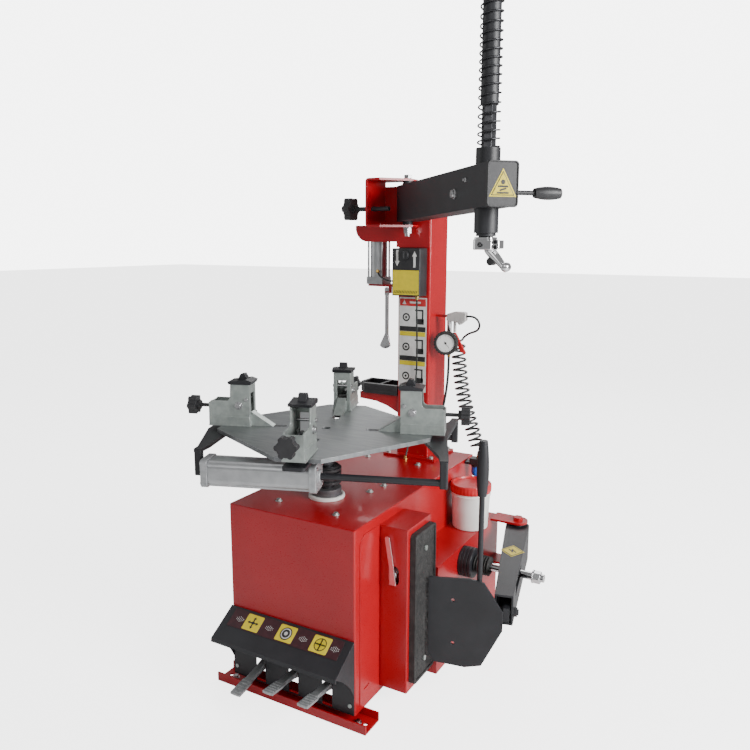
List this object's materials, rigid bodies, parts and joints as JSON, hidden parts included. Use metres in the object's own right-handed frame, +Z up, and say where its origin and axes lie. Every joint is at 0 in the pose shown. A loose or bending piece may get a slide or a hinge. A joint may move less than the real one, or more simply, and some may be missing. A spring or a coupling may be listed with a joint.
{
  "type": "tyre changer",
  "caption": "Swing-arm tyre changer with a turntable of coupled jaws with motorcycle adaptors, a lifting tool arm, foot pedals and a side bead breaker",
  "frame": {"origin": "on the floor at the centre of the anchor hole pattern", "axes": "+X to the operator's right, +Y to the back of the machine, +Z up"},
  "size_m": [1.119, 1.1189, 2.052],
  "materials": {
    "red_paint": "glossy red powder coat",
    "black_paint": "satin black powder coat",
    "grey_paint": "grey enamel",
    "zinc": "galvanised and rolled steel sheet",
    "steel": "machined bright steel",
    "chrome": "polished chrome plate",
    "cast": "cast iron, lightly oiled",
    "aluminium": "extruded and machined aluminium",
    "black_plastic": "moulded black plastic",
    "red_plastic": "moulded red plastic",
    "white_plastic": "moulded white plastic",
    "blue_plastic": "translucent blue bowl",
    "rubber": "black rubber"
  },
  "bodies": {
    "frame": {"cabinet_shell": "red_paint", "base_feet": "red_paint", "fasteners": "zinc", "pedal_hood": "black_paint", "pedal_cover": "black_paint", "side_cover": "red_paint", "pad_box": "red_paint", "bead_pad": "rubber", "cylinder_housing": "red_paint", "bead_cylinder": "aluminium", "gearbox": "cast", "motor": "grey_paint", "pedal_box": "zinc", "column": "red_paint", "tool_tray": "black_plastic", "control_box": "black_plastic", "lift_cylinder": "aluminium", "air_hoses": "rubber", "frl_unit": "blue_plastic", "curly_hose": "rubber", "hose_lead": "rubber", "inflator_gun": "chrome"},
    "pedal_left": {"pedal_left": "aluminium"},
    "pedal_middle": {"pedal_middle": "aluminium"},
    "pedal_right": {"pedal_right": "aluminium"},
    "valve_knob": {"valve_knob": "black_plastic"},
    "inflator_trigger": {"inflator_trigger": "red_plastic"},
    "carriage": {"lift_post": "steel", "arm_bracket": "red_paint", "lift_rod": "chrome", "pivot_bolt": "steel"},
    "stop_screw": {"stop_screw": "black_plastic"},
    "arm": {"swing_arm": "black_paint", "arm_end_cap": "black_plastic", "shaft_spring": "steel"},
    "lock_lever": {"lock_lever": "black_plastic"},
    "shaft": {"hex_shaft": "steel", "shaft_tube": "black_paint", "mount_head": "chrome"},
    "table": {"turntable_plate": "steel", "table_spindle": "steel"},
    "jaw_right": {"adaptor_right": "zinc", "jaw_slide_right": "black_paint"},
    "jaw_back": {"adaptor_back": "zinc", "jaw_slide_back": "black_paint"},
    "jaw_left": {"adaptor_left": "zinc", "jaw_slide_left": "black_paint", "table_cylinders": "aluminium"},
    "jaw_front": {"adaptor_front": "zinc", "jaw_slide_front": "black_paint"},
    "screw_right": {"adaptor_screw_right": "black_plastic"},
    "screw_back": {"adaptor_screw_back": "black_plastic"},
    "screw_left": {"adaptor_screw_left": "black_plastic"},
    "screw_front": {"adaptor_screw_front": "black_plastic"},
    "bead_arm": {"bead_arm": "black_paint"},
    "blade": {"bead_blade": "black_paint"},
    "bead_rod": {"bead_rod": "chrome"},
    "bucket": {"lubricant_bucket": "white_plastic"},
    "lever_hung": {"tire_lever_hung": "chrome"},
    "lever_slotted": {"tire_lever_slotted": "chrome"}
  },
  "joints": [
    {"name": "turntable_spin", "type": "hinge", "parent": "frame", "child": "table", "pos_m": [0, -0.232, 0.8], "axis": [0, 0, 1], "continuous": true},
    {"name": "jaw_right_slide", "type": "slide", "parent": "table", "child": "jaw_right", "axis": [-0.9397, -0.342, 0], "range_m": [0, 0.1]},
    {"name": "jaw_back_slide", "type": "slide", "parent": "table", "child": "jaw_back", "axis": [0.342, -0.9397, 0], "range_m": [0, 0.1]},
    {"name": "jaw_left_slide", "type": "slide", "parent": "table", "child": "jaw_left", "axis": [0.9397, 0.342, 0], "range_m": [0, 0.1]},
    {"name": "jaw_front_slide", "type": "slide", "parent": "table", "child": "jaw_front", "axis": [-0.342, 0.9397, 0], "range_m": [0, 0.1]},
    {"name": "adaptor_screw_right_spin", "type": "hinge", "parent": "jaw_right", "child": "screw_right", "pos_m": [0.37588, -0.09519, 0.8803], "axis": [0.9397, 0.342, 0], "continuous": true},
    {"name": "adaptor_screw_back_spin", "type": "hinge", "parent": "jaw_back", "child": "screw_back", "pos_m": [-0.13681, 0.14388, 0.8803], "axis": [-0.342, 0.9397, 0], "continuous": true},
    {"name": "adaptor_screw_left_spin", "type": "hinge", "parent": "jaw_left", "child": "screw_left", "pos_m": [-0.37588, -0.36881, 0.8803], "axis": [-0.9397, -0.342, 0], "continuous": true},
    {"name": "adaptor_screw_front_spin", "type": "hinge", "parent": "jaw_front", "child": "screw_front", "pos_m": [0.13681, -0.60788, 0.8803], "axis": [0.342, -0.9397, 0], "continuous": true},
    {"name": "arm_lift", "type": "slide", "parent": "frame", "child": "carriage", "axis": [0, 0, 1], "range_m": [0, 0.1]},
    {"name": "arm_swing", "type": "hinge", "parent": "carriage", "child": "arm", "pos_m": [0.037, 0.236, 1.52], "axis": [0, 0, 1], "range_deg": [-45, 35]},
    {"name": "stop_screw_spin", "type": "hinge", "parent": "carriage", "child": "stop_screw", "pos_m": [-0.12, 0.18, 1.503], "axis": [1, 0, 0], "continuous": true},
    {"name": "shaft_slide", "type": "slide", "parent": "arm", "child": "shaft", "axis": [0, 0, -1], "range_m": [0, 0.28], "stiffness_N_per_m": 400, "springref_m": -0.3, "deforming": ["shaft_spring"]},
    {"name": "lock_lever_turn", "type": "hinge", "parent": "arm", "child": "lock_lever", "pos_m": [0.57296, -0.2737, 1.515], "axis": [0.6774, -0.7356, 0], "range_deg": [0, 40]},
    {"name": "pedal_left_press", "type": "hinge", "parent": "frame", "child": "pedal_left", "pos_m": [0, -0.385, 0.09], "axis": [1, 0, 0], "range_deg": [-14, 0]},
    {"name": "pedal_middle_press", "type": "hinge", "parent": "frame", "child": "pedal_middle", "pos_m": [0, -0.385, 0.09], "axis": [1, 0, 0], "range_deg": [0, 12], "stiffness_Nm_per_rad": 3, "springref_deg": -28.65},
    {"name": "pedal_right_press", "type": "hinge", "parent": "frame", "child": "pedal_right", "pos_m": [0, -0.385, 0.09], "axis": [1, 0, 0], "range_deg": [0, 12], "stiffness_Nm_per_rad": 3, "springref_deg": -28.65},
    {"name": "valve_knob_turn", "type": "hinge", "parent": "frame", "child": "valve_knob", "pos_m": [0.031, 0.225, 1.345], "axis": [0, -1, 0], "range_deg": [-30, 30], "stiffness_Nm_per_rad": 0.2},
    {"name": "inflator_trigger_squeeze", "type": "hinge", "parent": "frame", "child": "inflator_trigger", "pos_m": [0.18, 0.342, 1.063], "axis": [0, 1, 0], "range_deg": [0, 12], "stiffness_Nm_per_rad": 0.5, "springref_deg": -17.19},
    {"name": "bead_arm_swing", "type": "hinge", "parent": "frame", "child": "bead_arm", "pos_m": [0.435, 0.355, 0.32], "axis": [0, 0, 1], "range_deg": [0, 25]},
    {"name": "bead_rod_slide", "type": "slide", "parent": "frame", "child": "bead_rod", "axis": [1, 0, 0], "range_m": [0, 0.16]},
    {"name": "blade_tilt", "type": "hinge", "parent": "bead_arm", "child": "blade", "pos_m": [0.55356, -0.11013, 0.3], "axis": [0.969, 0.247, 0], "range_deg": [-8, 6]},
    {"name": "bucket_lift_off", "type": "slide", "parent": "frame", "child": "bucket", "axis": [0, 0, 1], "range_m": [0, 0.15]},
    {"name": "lever_hung_lift_off", "type": "slide", "parent": "frame", "child": "lever_hung", "axis": [0, -1, 0], "range_m": [0, 0.06]},
    {"name": "lever_slotted_lift_off", "type": "slide", "parent": "frame", "child": "lever_slotted", "axis": [0, -1, 0], "range_m": [0, 0.12]}
  ],
  "couplings": [
    {"joint": "jaw_back_slide", "follows": "jaw_right_slide", "ratio": 1},
    {"joint": "jaw_left_slide", "follows": "jaw_right_slide", "ratio": 1},
    {"joint": "jaw_front_slide", "follows": "jaw_right_slide", "ratio": 1},
    {"joint": "bead_rod_slide", "follows": "bead_arm_swing", "m_per_rad": 0.36}
  ]
}
